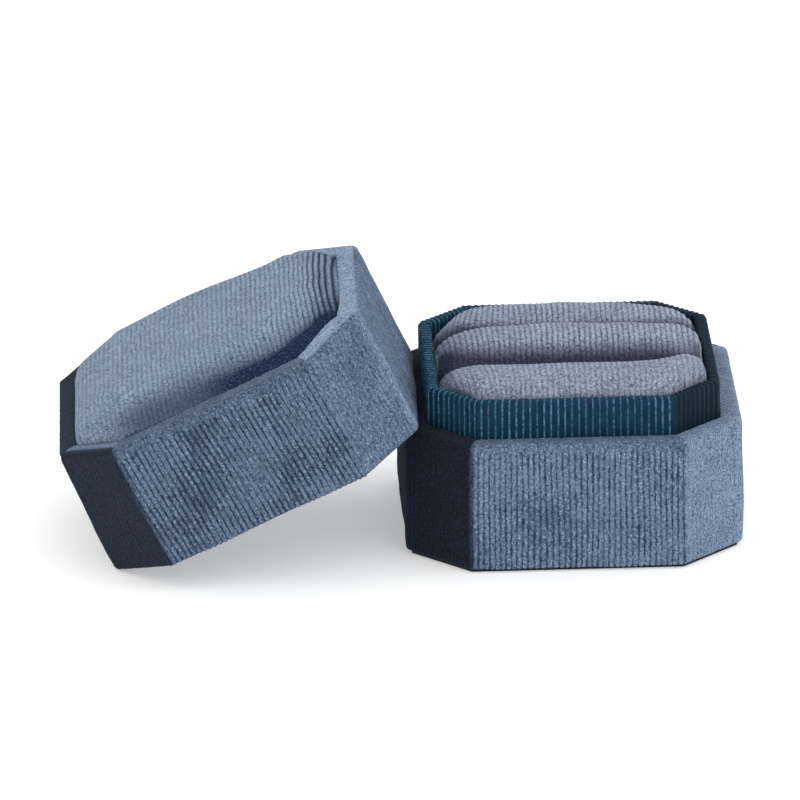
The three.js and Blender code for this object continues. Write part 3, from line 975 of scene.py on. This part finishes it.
def lid_lining_satin():
    """Satin drawn over the card under the lid's top board, turned up at its front and back edges."""
    card = Cushion(LINING_PAD_INSET, LINING_LIP)
    section = np.linspace(0, 1, 70)
    side = 0.06  # the share of the section that turns up at either edge
    share = np.interp(section, [0, side, 1 - side, 1], [0, 0, 1, 1])[:, None]
    rise = np.interp(section, [0, side, 1 - side, 1], [1, 0, 0, 1])[:, None]
    x = np.linspace(-card.half, card.half, 110)
    swell = Waves(SATIN_SEED, 7)

    def skin(inset):
        y = (card.depth(x) - inset) * (2 * share - 1)
        edge = np.minimum(card.half - np.abs(x), card.depth(x) - inset - np.abs(y))
        pucker = 0.5 + 0.12 * swell(np.stack([x + 0 * y, y, 0 * y], -1))
        low = CAVITY_TOP + inset - pucker * round_edge(edge, 8)
        return np.stack([x + 0 * y, y, low + rise * (LINING_LIP - low)], -1)

    points = np.concatenate([skin(0), skin(LINING)[::-1]])
    satin_skin = grid_mesh("lid_lining_satin_skin", points, False, {}, LID_FRAME)
    finish_piece(satin_skin, "lid_lining", "lid", "lid_lining_satin")


# ---------------------------------------------------------------- stage


LIGHT_AIM = Vector((-0.02, 0, 0.015))
WORLD_STRENGTH = 1.2
FLOOR_GREY = 0.8
FLOOR_GLOW = 0.33
FLOOR_REACH = 4


def camera():
    """The camera stands well back in front, a little above, and is turned a little."""
    azimuth, elevation, roll = math.radians(2.18), math.radians(20.1), math.radians(-0.7)
    target = Vector((-0.0251, 0, 0.01845))
    distance = 1.565
    data = bpy.data.cameras.new("camera")
    data.lens = 472
    data.sensor_width = 36
    data.clip_start = 0.1
    data.clip_end = 20
    level = math.cos(elevation)
    forward = Vector((math.sin(azimuth) * level, math.cos(azimuth) * level, -math.sin(elevation)))
    eye = bpy.data.objects.new("camera", data)
    eye.location = target - forward * distance
    turn = forward.to_track_quat("-Z", "Y") @ Quaternion((0, 0, 1), roll)
    eye.rotation_euler = turn.to_euler()
    bpy.context.scene.collection.objects.link(eye)
    bpy.context.scene.camera = eye


def softbox(name, place, size, power):
    light = bpy.data.lights.new(name, "AREA")
    light.shape = "DISK"
    light.size = size
    light.energy = power
    lamp = bpy.data.objects.new(name, light)
    lamp.location = place
    aim = LIGHT_AIM - Vector(place)
    lamp.rotation_euler = aim.to_track_quat("-Z", "Y").to_euler()
    bpy.context.scene.collection.objects.link(lamp)


def studio():
    world = bpy.data.worlds.new("world")
    world.use_nodes = True
    background = world.node_tree.nodes["Background"]
    background.inputs["Color"].default_value = (1, 1, 1, 1)
    background.inputs["Strength"].default_value = WORLD_STRENGTH
    bpy.context.scene.world = world
    bpy.context.scene.view_settings.view_transform = "Standard"
    softbox("key", (0.3, -0.25, 0.6), 0.5, 0.45)


def floor():
    mesh = bpy.data.meshes.new("floor")
    corners = [(x * FLOOR_REACH, y * FLOOR_REACH, 0) for x, y in ((-1, -1), (1, -1), (1, 1), (-1, 1))]
    mesh.from_pydata(corners, [], [(0, 1, 2, 3)])
    plane = bpy.data.objects.new("floor", mesh)
    n = Nodes("floor")
    n.shader.inputs["Base Color"].default_value = (FLOOR_GREY, FLOOR_GREY, FLOOR_GREY, 1)
    n.shader.inputs["Emission Color"].default_value = (1, 1, 1, 1)
    n.shader.inputs["Emission Strength"].default_value = FLOOR_GLOW
    n.shader.inputs["Roughness"].default_value = 0.7
    n.shader.inputs["Specular IOR Level"].default_value = 0.1
    mesh.materials.append(n.material)
    bpy.context.scene.collection.objects.link(plane)


camera()
studio()
floor()
paint_frame()
tray_velvet()
collar_ribbon()
ring_pad()
lid_side_velvet()
lid_panel()
lid_wall_lining()
lid_lining_satin()
